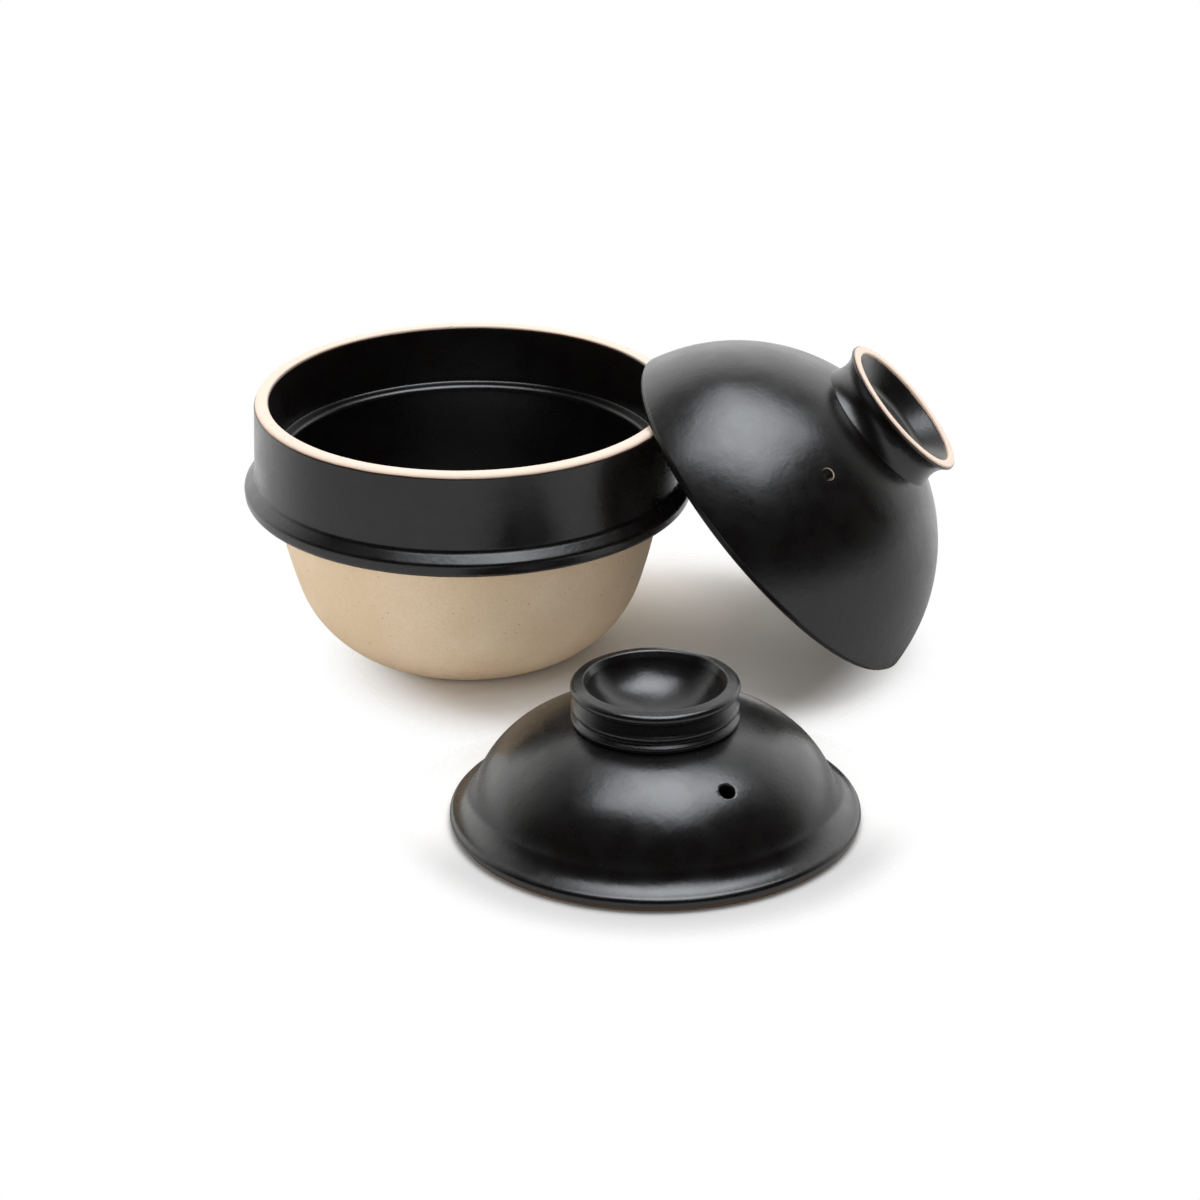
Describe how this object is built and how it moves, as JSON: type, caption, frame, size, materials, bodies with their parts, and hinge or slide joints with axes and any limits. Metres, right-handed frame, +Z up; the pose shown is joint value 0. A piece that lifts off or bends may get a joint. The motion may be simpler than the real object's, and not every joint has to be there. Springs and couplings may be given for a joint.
{
  "type": "two-lid clay rice pot",
  "caption": "Round clay pot with a tall collar and bead, a domed outer lid that leans on its rim, and a domed inner lid beside it.",
  "frame": {"origin": "middle of the pot's foot, on the surface that it stands on", "axes": "+Z up, along the axis that the pot was turned on; +X from the pot towards the leaning outer lid; +Y from the inner lid's side of the pot towards its back"},
  "size_m": [0.2978, 0.3491, 0.1339],
  "materials": {
    "bare_clay": "matt, unglazed",
    "black_glaze": "satin"
  },
  "bodies": {
    "pot": {"pot_body": "bare_clay", "pot_glaze_outside": "black_glaze", "pot_glaze_inside": "black_glaze"},
    "outer_lid": {"outer_lid_dome": "bare_clay", "outer_lid_knob": "bare_clay", "outer_lid_glaze_outside": "black_glaze", "outer_lid_glaze_inside": "black_glaze", "outer_lid_glaze_dish": "black_glaze"},
    "inner_lid": {"inner_lid_dome": "bare_clay", "inner_lid_knob": "bare_clay", "inner_lid_glaze_outside": "black_glaze", "inner_lid_glaze_inside": "black_glaze"}
  },
  "joints": [
    {"name": "outer_lid_lift", "type": "slide", "parent": "pot", "child": "outer_lid", "axis": [0, 0, 1], "range_m": [0, 0.15]},
    {"name": "inner_lid_lift", "type": "slide", "parent": "pot", "child": "inner_lid", "axis": [0, 0, 1], "range_m": [0, 0.12]}
  ]
}
